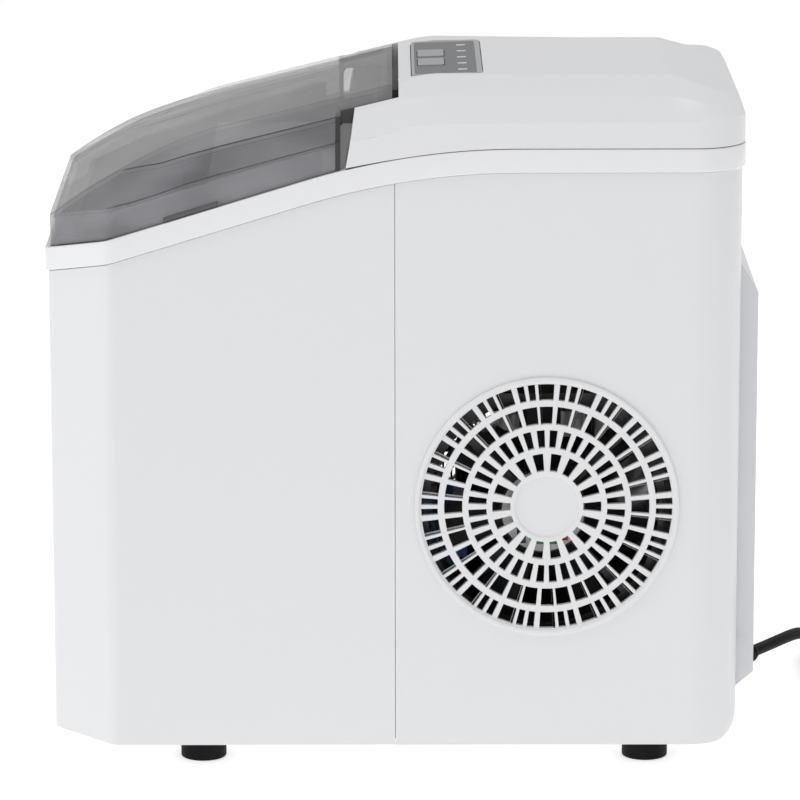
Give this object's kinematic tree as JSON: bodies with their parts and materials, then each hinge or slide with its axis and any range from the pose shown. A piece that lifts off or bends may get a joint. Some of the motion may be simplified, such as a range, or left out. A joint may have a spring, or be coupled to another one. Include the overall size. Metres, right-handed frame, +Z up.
{
  "type": "countertop ice maker",
  "caption": "Boxy white countertop ice maker with a sloped smoked lid, a top control panel, round side grilles, a rear bump and a coiled mains lead.",
  "frame": {"origin": "centre of the footprint at the underside of the feet, without the mains lead", "axes": "+Z up, +Y towards the rear wall, +X towards the fan grille; the lid opens from the front, -Y"},
  "size_m": [0.2452, 0.483, 0.343],
  "materials": {
    "aluminium": "rolled aluminium fins",
    "black_paint": "black enamel",
    "black_plastic": "matt black plastic",
    "board_green": "solder-masked circuit board",
    "button_grey": "satin light grey foil",
    "casing": "satin moulded white plastic",
    "coil_tape": "wound coil with yellow tape",
    "copper": "drawn copper",
    "cord_rubber": "satin black flexible sheath",
    "foam": "rigid expanded foam",
    "hose_clear": "milky flexible hose",
    "light_bar": "translucent light guide",
    "liner_grey": "satin grey plastic",
    "nickel": "nickel plated copper",
    "panel": "printed grey foil, satin",
    "paper": "plain round sticker",
    "rubber": "matt black rubber",
    "smoke": "transparent smoked plastic, glossy",
    "steel": "zinc plated steel",
    "valve_blue": "blue coil cover",
    "white_plastic": "satin white plastic"
  },
  "bodies": {
    "housing": {"front_shell": "casing", "rear_shell": "casing", "base_pan": "white_plastic", "feet": "rubber", "foot_screws": "steel", "trim_band": "casing", "top_cover": "casing", "lid_hinge_pins": "steel", "control_panel": "panel", "indicator_lights": "light_bar", "display_board": "board_green", "right_grille": "casing", "left_grille": "casing", "ice_chamber_liner": "liner_grey", "insulation_foam": "foam", "bulkhead": "steel", "evaporator_fingers": "nickel", "evaporator_tube": "nickel", "evaporator_bracket": "white_plastic", "tray_motor": "steel", "ice_full_sensors": "black_plastic", "water_pump": "black_plastic", "pump_hose": "hose_clear", "float_stem": "white_plastic", "compressor": "black_paint", "compressor_terminal_cover": "black_plastic", "compressor_grommets": "rubber", "compressor_bolts": "steel", "condenser_core": "aluminium", "condenser_tubes": "copper", "fan_shroud": "black_plastic", "fan_motor": "black_plastic", "fan_label": "paper", "filter_drier": "copper", "capillary_tube": "copper", "hot_gas_valve": "valve_blue", "refrigerant_lines": "copper", "board_bracket": "steel", "main_board": "board_green", "transformer": "coil_tape", "rear_screws": "steel", "power_cord": "cord_rubber", "cord_coil": "cord_rubber", "cord_tie": "rubber", "cord_gland": "cord_rubber", "power_plug": "cord_rubber"},
    "lid": {"lid": "smoke"},
    "power_key": {"power_button": "button_grey"},
    "select_key": {"select_button": "button_grey"},
    "tray": {"water_tray": "white_plastic", "tray_shaft": "steel"},
    "pusher": {"ice_pusher": "white_plastic"},
    "fan": {"fan_rotor": "black_plastic"},
    "float": {"float_ring": "white_plastic"},
    "basket": {"ice_basket": "white_plastic"},
    "drain": {"drain_plug": "rubber"}
  },
  "joints": [
    {"name": "lid_hinge", "type": "hinge", "parent": "housing", "child": "lid", "pos_m": [0, -0.014, 0.3265], "axis": [-1, 0, 0], "range_deg": [0, 88]},
    {"name": "power_press", "type": "slide", "parent": "housing", "child": "power_key", "axis": [0, -0.0349, 0.9994], "range_m": [-0.0008, 0], "stiffness_N_per_m": 800},
    {"name": "select_press", "type": "slide", "parent": "housing", "child": "select_key", "axis": [0, -0.0349, 0.9994], "range_m": [-0.0008, 0], "stiffness_N_per_m": 800},
    {"name": "tray_tilt", "type": "hinge", "parent": "housing", "child": "tray", "pos_m": [0, -0.058, 0.262], "axis": [1, 0, 0], "range_deg": [0, 90]},
    {"name": "pusher_slide", "type": "slide", "parent": "housing", "child": "pusher", "axis": [0, -1, 0], "range_m": [0, 0.014]},
    {"name": "fan_spin", "type": "hinge", "parent": "housing", "child": "fan", "pos_m": [0.1, 0.0683, 0.1313], "axis": [1, 0, 0], "continuous": true},
    {"name": "float_slide", "type": "slide", "parent": "housing", "child": "float", "axis": [0, 0, 1], "range_m": [0, 0.022]},
    {"name": "basket_lift", "type": "slide", "parent": "housing", "child": "basket", "axis": [0, 0, 1], "range_m": [0, 0.02]},
    {"name": "drain_turn", "type": "hinge", "parent": "housing", "child": "drain", "pos_m": [0, -0.12, 0.009], "axis": [0, 0, 1], "range_deg": [0, 90]}
  ],
  "couplings": [
    {"joint": "pusher_slide", "follows": "tray_tilt", "m_per_rad": 0.008913}
  ]
}
